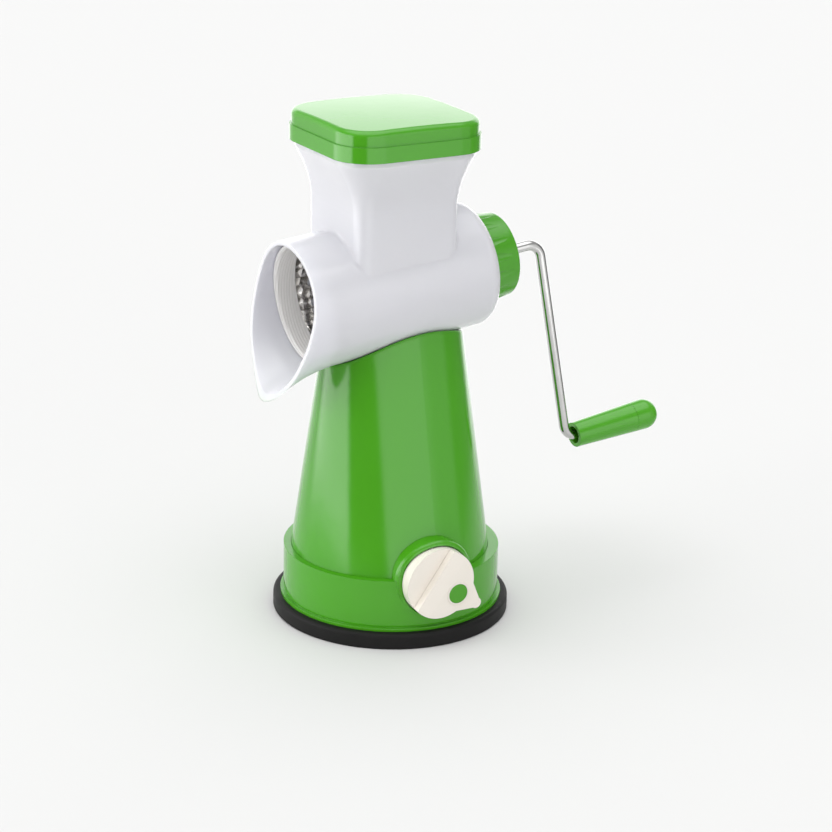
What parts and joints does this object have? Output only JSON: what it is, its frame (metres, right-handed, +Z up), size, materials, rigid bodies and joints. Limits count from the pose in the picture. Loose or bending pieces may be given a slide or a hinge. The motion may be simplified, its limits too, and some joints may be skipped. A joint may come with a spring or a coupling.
{
  "type": "rotary drum grater",
  "caption": "Hand-cranked rotary drum grater with a hopper and pusher, an oblique spout and a suction foot worked by a knob.",
  "frame": {"origin": "centre of the suction foot's underside, on the table", "axes": "+Z up, -Y towards the spout, +Y towards the crank, +X towards the suction knob's side"},
  "size_m": [0.1364, 0.2627, 0.29],
  "materials": {
    "green_plastic": "glossy lime-green moulding",
    "white_plastic": "glossy cool white moulding",
    "knob_plastic": "satin warm off-white moulding",
    "black_rubber": "matt black rubber",
    "chrome_steel": "polished chrome plate",
    "drum_steel": "punched stainless sheet",
    "plain_steel": "zinc-plated steel",
    "grey_nylon": "natural nylon"
  },
  "bodies": {
    "stand": {"tower_shell": "green_plastic", "base_collar": "green_plastic", "mounting_plate": "grey_nylon", "suction_pad": "black_rubber", "base_screws": "plain_steel", "head_housing": "white_plastic", "head_screws": "plain_steel", "rear_bush": "grey_nylon"},
    "crank": {"crank_hub": "green_plastic", "drive_shaft": "plain_steel", "shaft_clip": "plain_steel", "thrust_washer": "grey_nylon", "crank_rod": "chrome_steel", "grip_washer": "plain_steel"},
    "grip": {"crank_grip": "green_plastic", "grip_cap": "green_plastic"},
    "drum": {"drum_sleeve": "drum_steel", "drum_front_ring": "white_plastic", "drum_hub": "white_plastic"},
    "pusher": {"pusher_cover": "green_plastic", "pusher_plunger": "white_plastic", "pusher_screws": "plain_steel"},
    "knob": {"suction_knob": "knob_plastic", "knob_inlay": "green_plastic", "camshaft": "plain_steel", "lift_cam": "grey_nylon", "camshaft_clip": "plain_steel", "knob_pin": "plain_steel"},
    "lift": {"pad_stem": "plain_steel", "lift_yoke": "grey_nylon", "yoke_pin": "plain_steel"}
  },
  "joints": [
    {"name": "crank_spin", "type": "hinge", "parent": "stand", "child": "crank", "pos_m": [0, 0, 0.1933], "axis": [0, 0.9937, 0.1123], "continuous": true},
    {"name": "grip_spin", "type": "hinge", "parent": "crank", "child": "grip", "pos_m": [0, 0.01387, 0.07058], "axis": [0, 0.9937, 0.1123], "continuous": true},
    {"name": "drum_slide", "type": "slide", "parent": "crank", "child": "drum", "axis": [0, -0.9937, -0.1123], "range_m": [0, 0.14]},
    {"name": "pusher_lift", "type": "slide", "parent": "stand", "child": "pusher", "axis": [0, 0, 1], "range_m": [0, 0.045]},
    {"name": "knob_turn", "type": "hinge", "parent": "stand", "child": "knob", "pos_m": [0, 0, 0.0369], "axis": [0.9969, -0.0785, 0], "range_deg": [0, 120]},
    {"name": "pad_lift", "type": "slide", "parent": "stand", "child": "lift", "axis": [0, 0, 1], "range_m": [0, 0.0035], "deforming": ["suction_pad"]}
  ],
  "couplings": [
    {"joint": "pad_lift", "follows": "knob_turn", "m_per_rad": 0.0016711}
  ]
}
